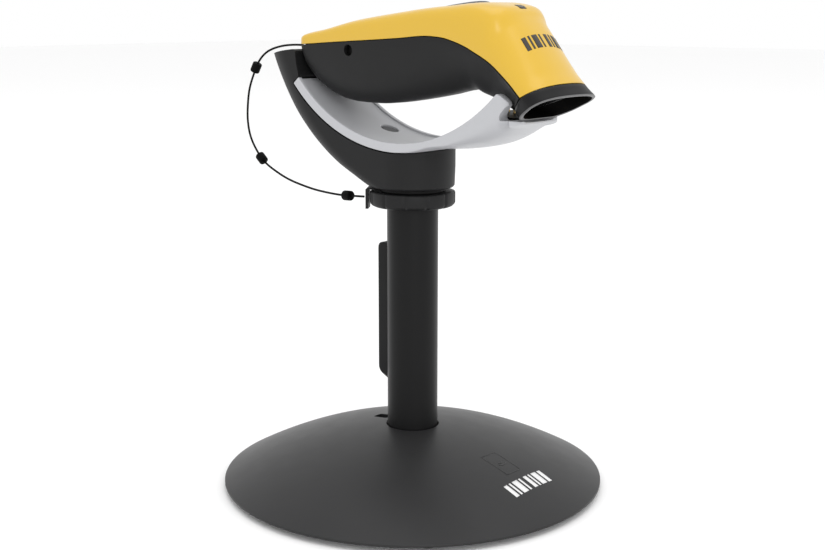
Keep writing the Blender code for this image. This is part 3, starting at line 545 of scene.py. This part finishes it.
def add_base():
    count = 60
    radii = [POLE_R + GAP + 0.4 + (RIM_R - POLE_R - GAP - 0.5) * i / count for i in range(count + 1)]
    outer = [(POLE_R + GAP, dome_height(POLE_R) - 0.5)] + [(r, dome_height(r)) for r in radii]
    rim = [(RIM_R, 3.3), (RIM_R, 2.6), (RIM_R - 0.1, 2.5), (RIM_IN, 2.5)]
    inner_radii = [RIM_IN - (RIM_IN - POLE_R - GAP) * i / 20 for i in range(21)]
    inner = [(r, dome_height(r) - DOME_WALL) for r in inner_radii]
    cover = lathe("base_dome", outer + rim + inner, "base", segments=192, sharp=25)
    hole = prism("hole", rounded(((-21.5, -2.6), (-13.5, -2.6), (-13.5, 2.6), (-21.5, 2.6)), 1.2), 15, 40,
                 frame_axes=(Vector((1, 0, 0)), Vector((0, 0, 1)), Vector((0, 1, 0)), Vector()))
    combine(cover, hole, sharp=25)
    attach(cover, "stand")
    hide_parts("base_cover")


def on_dome(x, y, lift=0.06):
    """Point just above the base cover."""
    return Vector((x, y, dome_height(math.hypot(x, y)) + lift))


def patch(name, place, low, high, mat, body, steps=(6, 6), thick=0.03):
    """Thin printed rectangle laid on a surface that place(u, v) describes."""
    verts, faces = [], []
    across, along = steps
    for i in range(across + 1):
        for j in range(along + 1):
            verts.append(place(low[0] + (high[0] - low[0]) * i / across,
                               low[1] + (high[1] - low[1]) * j / along))
    row = along + 1
    for i in range(across):
        for j in range(along):
            faces.append((i * row + j, (i + 1) * row + j, (i + 1) * row + j + 1, i * row + j + 1))
    obj = piece(name, verts, faces, mat)
    modifier = obj.modifiers.new("thick", "SOLIDIFY")
    modifier.thickness = thick * MM
    modifier.offset = 0
    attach(obj, body)
    return obj


def bar_row(total, pattern):
    """Bar positions of a made-up code: widths in modules, bars and spaces in turn."""
    module = total / sum(pattern)
    at = 0.0
    bars = []
    for i, width in enumerate(pattern):
        if i % 2 == 0:
            bars.append((at * module, (at + width) * module))
        at += width
    return bars


def join(name, objects):
    """Joins print patches into one piece."""
    first = objects[0]
    bpy.context.view_layer.update()
    depsgraph = bpy.context.evaluated_depsgraph_get()
    bm = bmesh.new()
    for obj in objects:
        mesh = bpy.data.meshes.new_from_object(obj.evaluated_get(depsgraph))
        bm.from_mesh(mesh)
        bpy.data.meshes.remove(mesh)
    merged = bpy.data.meshes.new(name)
    bm.to_mesh(merged)
    bm.free()
    merged.materials.append(first.data.materials[0])
    for polygon in merged.polygons:
        polygon.material_index = 0
    body = first["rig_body"]
    for obj in objects:
        bpy.data.objects.remove(obj, do_unlink=True)
    out = bpy.data.objects.new(name, merged)
    bpy.context.scene.collection.objects.link(out)
    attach(out, body)
    return out


CODE = (2, 1, 1, 1, 3, 1, 1, 2, 2, 1, 1, 1, 3, 1, 2)


def add_base_print():
    half = 12.7
    near, far = 60.2, 67.0
    bars = [patch("bar", on_dome, (near, -half + a), (far, -half + b), "ink_white", "stand", (6, 2))
            for a, b in bar_row(2 * half, CODE)]
    join("base_code_print", bars)
    low, high, line = (42.2, -4.7), (56.3, 4.7), 0.35
    sides = (((low[0], low[1]), (high[0], low[1] + line)), ((low[0], high[1] - line), (high[0], high[1])),
             ((low[0], low[1] + line), (low[0] + line, high[1] - line)),
             ((high[0] - line, low[1] + line), (high[0], high[1] - line)))
    frame_lines = [patch("line", on_dome, a, b, "ink_black", "stand", (4, 4)) for a, b in sides]

    def ring_place(radius):
        def place(turn, out):
            r = radius + out
            return on_dome(SYMBOL_X + r * math.cos(turn), r * math.sin(turn))
        return place

    for radius in (1.6, 3.0):
        frame_lines.append(patch("wave", ring_place(radius), (-0.75, 0), (0.75, 0.5), "ink_black", "stand",
                                 (12, 1)))
    join("base_symbol_print", frame_lines)


def add_pole():
    pole = lathe("pole_tube", ((POLE_R - 0.25, 3.4), (POLE_R, 3.65), (POLE_R, POLE_TOP - 0.25),
                               (POLE_R - 0.25, POLE_TOP), (9.3, POLE_TOP), (9.3, 3.4)), "pole", segments=128)
    combine(pole, prism("slot", ((-20, 52), (-5, 52), (-5, 98), (-20, 98)), -1.8, 1.8))
    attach(pole, "stand")
    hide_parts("pole")
    side = ((-16.8, 48), (-8, 43.5), (-8, 106.8), (-16.8, 106.8))
    outline = rounded(side, 2.6, 8)
    width = 4.3
    rings = []
    for y, inset in ((-width, 0.9), (-width + 0.12, 0.45), (-width + 0.45, 0.12), (-width + 0.9, 0),
                     (width - 0.9, 0), (width - 0.45, 0.12), (width - 0.12, 0.45), (width, 0.9)):
        middle = Vector((-9, 76))
        ring = []
        for x, z in outline:
            pull = 1 - inset / 6 if x < -10 else 1
            ring.append(Vector((middle.x + (x - middle.x) * pull, y,
                                middle.y + (z - middle.y) * (1 - inset / 29))))
        rings.append(ring)
    cover = loft("cable_cover_shell", rings, "cover", sharp=40)
    combine(cover, rod("round", POLE_R + GAP, 0, 140, segments=128), sharp=40)
    combine(cover, prism("channel", ((-15.2, 54), (-8, 54), (-8, 97), (-15.2, 97)), -2.2, 2.2), sharp=40)
    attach(cover, "stand")
    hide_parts("cable_cover")


def add_ring():
    def lobed(r, z, angle):
        if r < RING_R - 2:
            return r
        return r - 0.45 * max(0.0, math.cos(RING_LOBES * angle)) ** 8

    profile = [(RING_R - 1.7, RING_LOW), (RING_R - 0.9, RING_LOW + 0.35), (RING_R - 0.25, RING_LOW + 1.0),
               (RING_R, RING_LOW + 1.8), (RING_R, RING_TOP - 0.7), (RING_R - 0.15, RING_TOP - 0.25),
               (RING_R - 0.6, RING_TOP), (RING_R - 3, RING_TOP), (BORE_R, RING_TOP), (BORE_R, RING_LOW)]
    ring = lathe("lock_ring_knurled", profile, "black", "lock_ring", segments=480, radius=lobed, sharp=50)
    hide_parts("lock_ring")

    bracket = lathe("bracket", ((14, RING_TOP + GAP), (14, CUP_BOTTOM - GAP), (BORE_R, CUP_BOTTOM - GAP),
                                (BORE_R, RING_TOP + GAP)), "black", segments=96)
    turn = math.radians(TAB_TURN)
    ax = Vector((math.cos(turn), math.sin(turn), 0))
    ay = Vector((-math.sin(turn), math.cos(turn), 0))
    low, high = RING_TOP + 0.5, CUP_BOTTOM - 0.5
    tab = [(10, low), (18.9, low), (18.9, 122.8), (20.1, 122.8), (20.1, high - 0.6), (19.5, high), (10, high)]
    combine(bracket, prism("tab", tab, -3.5, 3.5, "black", (ax, ay, Vector((0, 0, 1)), Vector())), "UNION")
    bevel(bracket, 0.25, 2)
    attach(bracket, "head")
    bracket.name = "tether_tab"
    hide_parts("tether_bracket")


def stadium(z, back, radius, rear, points=48):
    """Level ring of a half circle about the pole, two straight sides and a half circle at the back."""
    ring = []
    for i in range(points + 1):
        t = -math.pi / 2 + math.pi * i / points
        ring.append(Vector((radius * math.cos(t), radius * math.sin(t), z)))
    for k in range(1, 6):
        ring.append(Vector((back * k / 6, radius + (rear - radius) * k / 6, z)))
    for i in range(points + 1):
        t = math.pi / 2 + math.pi * i / points
        ring.append(Vector((back + rear * math.cos(t), rear * math.sin(t), z)))
    for k in range(5, 0, -1):
        ring.append(Vector((back * k / 6, -radius - (rear - radius) * k / 6, z)))
    return ring


def arc_point(radius, degrees):
    """Point (x, z) on a circle about the liner's centre, with angle 0 straight down."""
    angle = math.radians(degrees)
    return ARC_X + radius * math.sin(angle), ARC_Z - radius * math.cos(angle)


def cup_back(z):
    """Centre of the cup's rear half circle at a height."""
    return min(-0.01, curve_at(CUP_BACK, z))


def add_cup():
    rings = []
    for rise, inset in ((0, 1.2), (0.3, 0.5), (0.8, 0.12)):
        r = CUP_R - CUP_TAPER - inset
        rings.append(stadium(CUP_BOTTOM + rise, cup_back(CUP_BOTTOM + rise), r, r))
    steps = 60
    for i in range(1, steps + 1):
        z = CUP_BOTTOM + 0.02 + (CUP_TOP - CUP_BOTTOM) * i / steps
        flare = 0.7 * (z - CUP_BOTTOM) / 18
        r = CUP_R - CUP_TAPER + min(flare, CUP_TAPER)
        rings.append(stadium(z, cup_back(z), r, r))
    cup = loft("cup", rings, "black", sharp=30)
    start = ARC_BACK - 0.4
    over = [arc_point(ARC_OUT + GAP, start + 100 * i / 90) for i in range(91)]
    over += [(70, 230), (LIP_FACE, 230), (LIP_FACE, 187.2), (-51.2, 183.2), (-50.1, 179.2),
             arc_point(ARC_IN - GAP, start)]
    combine(cup, prism("liner_space", over, -30, 30), sharp=30)
    lip = [(-95, 183.7), (-72, 187.4), (-60, 189.3), (LIP_FACE - 2.2, 190.0), (LIP_FACE - 0.9, 189.85),
           (LIP_FACE - 0.25, 189.2), (LIP_FACE, 188.2), (-50, 188.2), (-50, 230), (-95, 230)]
    combine(cup, prism("lip_top", lip, -30, 30), sharp=30)
    axis_x = Matrix.Rotation(math.radians(-90), 3, "Y")
    combine(cup, lathe("groove", ((0, 50), (1.8, 50), (1.8, 90), (0, 90)), "black", segments=40,
                       centre=(0, 0, EYELET_Z + 0.7), turn=axis_x), sharp=30)
    wall = 2.5
    pocket = [stadium(z, min(-0.01, cup_back(z - 3.2) + 0.6), CUP_R - wall, CUP_R - wall, 24)
              for z in (135.3, 141.6, 147.3, 154.6, 164.2, 172)]
    combine(cup, loft("pocket", pocket, "black"), sharp=30)
    combine(cup, rod("bore", BORE_R, 120, 150), sharp=30)
    combine(cup, prism("usb", rounded(((-32, 139.2), (-18, 139.2), (-18, 143.4), (-32, 143.4)), 0.8),
                       -6.2, 6.2), sharp=30)
    bevel(cup, 0.45, 3, 55)
    cup.name = "cup_shell"
    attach(cup, "head")
    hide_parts("head_cup")


def scoop_sizes(x):
    """Rim height, half-width, outer depth, floor thickness and inner half-width of the liner's front."""
    top = curve_at(TIP_RIM, x) if x > 57.6 else ARC_Z - math.sqrt(ARC_IN ** 2 - (x - ARC_X) ** 2)
    half = curve_at(SCOOP_HALF, x)
    depth = top - curve_at(SCOOP, x)
    blend = min(1.0, (x - ARC_X) / 20)
    thick = min(3.2, max(depth - 0.6, 0.6))
    floor = (1 - blend) * (ARC_OUT - ARC_IN - 1.1) + blend * thick
    inner = min(LINER_HALF - 2.2 - (LINER_HALF - ARM_GAP - 2.2) * blend, half - 2.4)
    return top, half, depth, floor, inner


def trough(half, depth, power, floor, inner, side=30, fillet=0.45):
    """U section, rim at height 0: vertical cheek, rounded bottom, then back along the inside."""
    cheek = min(ARM_THICK, depth * 0.6)
    points = []
    fan = [math.radians(a) for a in (0, 22.5, 45, 67.5, 90)]
    for a in fan:
        points.append((-half + fillet * (1 - math.sin(a)), -fillet * (1 - math.cos(a))))
    for i in range(2 * side + 1):
        t = math.pi * i / (2 * side)
        y = math.copysign(abs(math.cos(t)) ** (2 / power), -math.cos(t)) * half
        points.append((y, -cheek - (depth - cheek) * math.sin(t) ** (2 / power)))
    for a in reversed(fan):
        points.append((half - fillet * (1 - math.sin(a)), -fillet * (1 - math.cos(a))))
    inside = depth - floor
    soft = min(fillet, inside * 0.4)
    for a in fan:
        points.append((inner + soft * (1 - math.sin(a)), -soft * (1 - math.cos(a))))
    bend = min(power, 4.0)
    for i in range(2 * side + 1):
        t = math.pi * i / (2 * side)
        y = math.copysign(abs(math.cos(t)) ** (2 / bend), math.cos(t)) * inner
        points.append((y, -soft - (inside - soft) * math.sin(t) ** (2 / bend)))
    for a in reversed(fan):
        points.append((-inner - soft * (1 - math.sin(a)), -soft * (1 - math.cos(a))))
    return points


def add_liner():
    rings = []
    depth = ARC_OUT - ARC_IN
    power = 12.0
    for i in range(50):
        angle = math.radians(ARC_BACK * (1 - i / 49))
        inward = Vector((-math.sin(angle), 0, math.cos(angle)))
        origin = Vector((ARC_X, 0, ARC_Z)) - inward * ARC_IN
        section = trough(LINER_HALF, depth, power, depth - 1.1, LINER_HALF - 2.2)
        rings.append([origin + inward * z + Vector((0, y, 0)) for y, z in section])
    scoop_power = ((5, 12), (24, 2.2), (44, 2.4), (65.5, 2.6))
    places = [6 + 1.2 * k for k in range(43)] + [57.6 + 0.35 * k for k in range(15)] + [
        62.65, 62.8, 62.9, 63.0, 63.4, 64.0, 64.8, 65.5]
    for x in places:
        top, half, deep, floor, inner = scoop_sizes(x)
        rings.append([Vector((x, y, top + z))
                      for y, z in trough(half, deep, curve_at(scoop_power, x), floor, inner)])
    liner = loft("liner", rings, "liner", sharp=32)
    combine(liner, prism("notch", rounded(NOTCH, 0.8), -30, 30), sharp=32)
    screw_x, screw_z = arc_point(ARC_IN, -LINER_SCREW_TURN)
    tilt = Matrix.Rotation(math.radians(LINER_SCREW_TURN), 3, "Y")
    recess = ((0, -10), (1.8, -10), (1.8, -2.9), (3.6, -2.9), (4.0, -2.5), (4.0, -1.3), (4.5, -0.8),
              (4.5, 4), (0, 4))
    combine(liner, lathe("recess", recess, "liner", centre=(screw_x, LINER_SCREW_Y, screw_z), segments=64,
                         turn=tilt), sharp=32)
    liner.name = "liner_strap"
    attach(liner, "head")
    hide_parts("cradle_liner")


# ---------------------------------------------------------------- scanner body

def station_frame(s):
    """Foot point and direction of a body station in the XZ plane."""
    if s <= FAN_X:
        return Vector((s, 0, FAN_Z)), Vector((0, 0, 1))
    angle = math.radians(90 - (s - FAN_X))
    return Vector((FAN_X, 0, FAN_Z)), Vector((math.cos(angle), 0, math.sin(angle)))


def upper_point(s, t, inset=0.0, sink=1.0):
    """Point on the shell above the parting line; t runs from one side (0) to the other (1)."""
    origin, up = station_frame(s)
    edge = curve_at(PARTING, s) + 0.4
    crown = max(curve_at(CROWN, s) - inset, edge + 0.3)
    power = curve_at(UP_POWER, s)
    wide = curve_at(WIDTH, s) - inset
    c, d = math.cos(math.pi * t), math.sin(math.pi * t)
    y = wide * math.copysign(abs(c) ** (2 / power), c)
    z = edge + (crown - edge) * d ** (2 / power) * sink
    return origin + up * z + Vector((0, y, 0))


def lower_point(s, t, inset=0.0, sink=1.0):
    """Point on the shell below the parting line; t runs from one side (0) to the other (1)."""
    origin, up = station_frame(s)
    edge = curve_at(PARTING, s) - 0.4
    belly = min(curve_at(BELLY, s) + inset, edge - 0.3)
    power = curve_at(LOW_POWER, s)
    wide = curve_at(WIDTH, s) - inset
    keel = curve_at(KEEL, s) - inset
    c, d = math.cos(math.pi * t), math.sin(math.pi * t)
    depth = d ** (2 / power)
    half = wide + (keel - wide) * depth ** curve_at(KEEL_POWER, s)
    y = half * math.copysign(abs(c) ** (2 / power), c)
    z = edge - (edge - belly) * depth * sink
    return origin + up * z + Vector((0, y, 0))


FACE_UP = station_frame(BODY_END)[1]
FACE_OUT = Vector((FACE_UP.z, 0, -FACE_UP.x))
FACE_LOW = Vector((FAN_X, 0, FAN_Z)) + FACE_UP * curve_at(BELLY, BODY_END)


def depth_of(point):
    """How far a point lies behind the face plane of the nose."""
    return (FACE_LOW - point).dot(FACE_OUT)


def station_at_depth(place, t, depth, inset=0.0):
    """Station where the surface line at t lies that deep behind the face plane."""
    low, high = 74.0, BODY_END + 6
    for _ in range(30):
        middle = (low + high) / 2
        if depth_of(place(middle, t, inset)) > depth:
            low = middle
        else:
            high = middle
    return (low + high) / 2


def shell_rings(place, sign, count=64):
    """Rings of a hollow half shell, from the tail's end wall to the face of the bezel."""
    ts = [i / count for i in range(count + 1)]
    ends = [station_at_depth(place, t, BEZEL_DEPTH + GAP) for t in ts]
    inner_ends = [station_at_depth(place, t, BEZEL_DEPTH + GAP, WALL) for t in ts]
    plain = [-51 + 0.25 * k for k in range(17)] + [-46 + 2.0 * k for k in range(40)]
    plain += [34 + 1.6 * k for k in range(11)] + [51 + 0.45 * k for k in range(22)]
    plain += [61 + 1.0 * k for k in range(13)]
    rings = []

    def ring(stations, inner_stations, sink):
        outer = [place(s, t) for s, t in zip(stations, ts)]
        inner = [place(s, t, WALL, sink) for s, t in zip(inner_stations, ts)]
        lead = []
        for s, t, turn in ((stations[0], 0.0, 1), (stations[-1], 1.0, -1)):
            up = station_frame(s)[1]
            side = place(s, t)
            lead.append([side - up * sign * 0.25 - Vector((0, turn * 0.3, 0)),
                         side - up * sign * 0.22 - Vector((0, turn * 0.12, 0)),
                         side - up * sign * 0.13 - Vector((0, turn * 0.03, 0))])
        base = []
        for s, t in ((inner_stations[-1], 1.0), (inner_stations[0], 0.0)):
            up = station_frame(s)[1]
            foot = place(s, t, WALL, sink) - up * sign * 0.25
            inward = Vector((0, -math.copysign(1, foot.y), 0))
            rise = up * (0.05 + 0.95 * sink if sign < 0 else 0.02)
            base.append([foot + inward * 0.1, foot + inward * 0.1 + rise, foot + inward * 0.7 + rise,
                         foot + inward * 0.7])
        return lead[0] + outer + lead[1][::-1] + base[0] + inner[::-1] + base[1][::-1]

    for s in plain:
        sink = min(1.0, max(0.0, (s + 49.3) / 0.9))
        rings.append(ring([s] * len(ts), [s] * len(ts), sink))
    last = plain[-1]
    steps = 16
    for k in range(1, steps + 1):
        share = k / steps
        rings.append(ring([last + (e - last) * share for e in ends],
                          [last + (e - last) * share for e in inner_ends], 1.0))
    return rings


def crown_at(x):
    """Top middle line of the shell over the handle and button."""
    return curve_at(((-50, 196.3), (-36, 199.2), (-18.7, 202.9), (-1.7, 205.3), (20, 207.9), (34, 209.1),
                     (42, 209.7), (50, 209.5)), x)


def ellipse_ring(z, grow=0.0, points=96):
    """Level outline of the scan button."""
    return [Vector((BUTTON_X + (BUTTON_LONG + grow) * math.cos(2 * math.pi * k / points),
                    (BUTTON_WIDE + grow) * math.sin(2 * math.pi * k / points), z)) for k in range(points)]


def ridge_height(x):
    """Height of the shell's middle line over the front ridge."""
    stations = [48 + 0.25 * k for k in range(60)]
    frames = [station_frame(s) for s in stations]
    points = [origin + up * curve_at(CROWN, s) for s, (origin, up) in zip(stations, frames)]
    return min(points, key=lambda p: abs(p.x - x)).z


def led_ring(grow, z):
    """Level outline of the status window."""
    wide, long = 1.5 + grow, 2.1 + grow
    outline = rounded(((-wide, -long), (wide, -long), (wide, long), (-wide, long)), 0.8)
    return [Vector((LED_X + x, y, z)) for x, y in outline]


def add_shells():
    top = loft("top", shell_rings(upper_point, 1), "yellow", sharp=40)
    combine(top, loft("button_hole", [ellipse_ring(199, GAP), ellipse_ring(230, GAP)], "yellow"), sharp=40)
    combine(top, rod("power_hole", POWER_R + GAP, 198, 215, "yellow", (POWER_X, 0)), sharp=40)
    combine(top, loft("led_hole", [led_ring(GAP, 203), led_ring(GAP, 215)], "yellow"), sharp=40)
    top.name = "top_shell_yellow"
    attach(top, "scanner")
    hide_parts("top_shell")

    bottom = loft("bottom", shell_rings(lower_point, -1), "handle", sharp=40)
    turn = Matrix.Rotation(math.radians(90), 3, "X")
    combine(bottom, lathe("port", ((0, 10), (2.4, 10), (2.4, 30), (0, 30)), "handle",
                          centre=(PORT[0], 0, PORT[1]), segments=48, turn=turn), sharp=40)
    rear_screw_z = FAN_Z + curve_at(BELLY, REAR_SCREW_X)
    for x, floor in ((REAR_SCREW_X, rear_screw_z), (FRONT_SCREW_X, FRONT_SCREW_Z)):
        combine(bottom, rod("screw_bore", 3.0, floor - 5, floor + 3.2, "handle", (x, 0)), sharp=40)
    for x in CONTACTS_X:
        combine(bottom, rod("contact_bore", 1.5, 160, 175.4, "handle", (x, 0)), sharp=40)
    axis_x = Matrix.Rotation(math.radians(-90), 3, "Y")
    combine(bottom, lathe("eye", ((0, 40), (2.2, 40), (2.2, 60), (0, 60)), "handle", segments=48,
                          centre=(0, 0, EYELET_Z), turn=axis_x), sharp=40)
    bottom.name = "bottom_shell_black"
    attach(bottom, "scanner")
    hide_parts("bottom_shell")


def face_point(t, depth, inset):
    """Point of the whole barrel outline at a depth behind the face plane; t from 0 to 2."""
    place, share = (upper_point, t) if t <= 1 else (lower_point, 2 - t)
    return place(station_at_depth(place, share, depth, inset), share, inset)


def add_bezel():
    profile = [(BEZEL_DEPTH, 0.15), (BEZEL_DEPTH - 0.15, 0), (4, 0), (2.5, 0), (1.2, 0), (0.45, 0),
               (0.15, 0.12), (0.0, 0.4), (0.0, 1.1), (0.12, 1.4), (0.4, 1.55), (1.5, 1.7), (3.5, 1.85),
               (BEZEL_DEPTH, 1.95), (BEZEL_DEPTH, 1.0)]
    count = 120
    ts = [2 * i / count for i in range(count)]
    rings = [[face_point(t, depth, inset) for t in ts] for depth, inset in profile]
    bezel = loft("nose_ring", rings, "bezel", "scanner", closed=True, sharp=50)
    # The front rim rows (5 to 8) take the lighter copy, a painted highlight.
    bezel.data.materials.append(MAT["rim"])
    # The inside rows (9 to 12) take the darker copy, painted shade in the hood.
    bezel.data.materials.append(MAT["inside"])
    for polygon in bezel.data.polygons:
        row = polygon.index // count
        polygon.material_index = 1 if 5 <= row <= 8 else 2 if 9 <= row <= 12 else 0
    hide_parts("nose_bezel")


def add_keys():
    rings = [ellipse_ring(202.6)]
    for k in range(13):
        a = math.radians(90 * k / 12)
        shrink = -8.7 * (1 - math.cos(a)) if k else 0.0
        rise = 1.4 * math.sin(a) ** 0.8
        rings.append([Vector((v.x, v.y, crown_at(v.x) - 0.5 + rise * (1 + (v.x - BUTTON_X) / 28)
                              - (v.y / 9) ** 2 * 0.5)) for v in ellipse_ring(0, shrink)])
    button = loft("scan_key", rings, "grey", sharp=50)
    combine(button, rod("stem", 2.0, KEY_FOOT, 204, "grey", (BUTTON_X, 0)), "UNION", sharp=50)
    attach(button, "scan_key")
    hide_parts("scan_button")
    button.name = "scan_key_dome"
    top = crown_at(POWER_X) - 0.4
    outline = [(0, KEY_FOOT), (1.2, KEY_FOOT), (1.2, 200.5), (POWER_R, 200.5), (POWER_R, top)]
    outline += [(POWER_R - 0.5 + 0.5 * math.cos(math.radians(a)), top + 0.3 * math.sin(math.radians(a)))
                for a in (22, 45, 68, 90)]
    outline += [(1.6, top + 0.26), (1.2, top + 0.1), (0, top + 0.05)]
    power = lathe("power_key_cap", outline, "grey", "power_key", centre=(POWER_X, 0, 0), segments=64)
    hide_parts("power_button")
    led_rings = [led_ring(0, 205)]
    for grow, proud in ((0, 0.0), (-0.1, 0.12), (-0.35, 0.18)):
        led_rings.append([Vector((v.x, v.y, ridge_height(v.x) + proud)) for v in led_ring(grow, 0)])
    led = loft("led_window", led_rings, "lens", "scanner")
    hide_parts("led_lens")


def front_place(s, y, lift=0.05):
    """Point on the nose's front, above the parting line, at a station and a sideways distance."""
    origin, up = station_frame(s)
    edge = curve_at(PARTING, s) + 0.4
    crown = curve_at(CROWN, s)
    power = curve_at(UP_POWER, s)
    share = min(1.0, abs(y) / curve_at(WIDTH, s))
    height = edge + (crown - edge) * (1 - share ** power) ** (1 / power) + lift
    return origin + up * height + Vector((0, y, 0))


def add_nose_print():
    half = 12.4
    low, high = 65.6, 71.2
    side = 1 - half
    bars = [patch("bar", front_place, (low, side + a), (high, side + b), "ink_dark", "scanner", (8, 2))
            for a, b in bar_row(2 * half, CODE)]
    join("nose_code_print", bars)


# ---------------------------------------------------------------- CAD nodes that stay

CARRIED = {
    "base_plate": "steel", "base_weight": "iron", "tie_rod": "steel", "tie_rod_nut": "steel",
    "swivel_spigot": "black", "charge_board": "board", "stand_usb_socket": "steel", "liner_screw": "grey",
    "contact_block": "black", "pogo_pin_rear": "gold", "pogo_pin_front": "gold", "scan_window": "glass",
    "scan_engine": "rubber", "engine_lens": "glass", "aim_led": "led", "main_board": "board",
    "battery": "cell", "beeper": "rubber", "vibration_motor": "steel", "vibration_weight": "steel",
    "scan_switch": "rubber", "power_switch": "rubber", "shell_screw_1": "steel", "shell_screw_2": "steel",
    "charge_contact_rear": "gold", "charge_contact_front": "gold", "tether_eyelet": "steel",
}
CARRIED.update({f"base_foot_{i}": "rubber" for i in range(1, 5)})
CARRIED.update({f"base_screw_{i}": "steel" for i in range(1, 5)})


def dress_carried():
    for name, mat in CARRIED.items():
        materials = frame["nodes"][name].data.materials
        materials.clear()
        materials.append(MAT[mat])


add_camera()
add_stage()
add_tether()
add_base()
add_base_print()
add_pole()
add_ring()
add_cup()
add_liner()
add_shells()
add_bezel()
add_keys()
add_nose_print()
dress_carried()
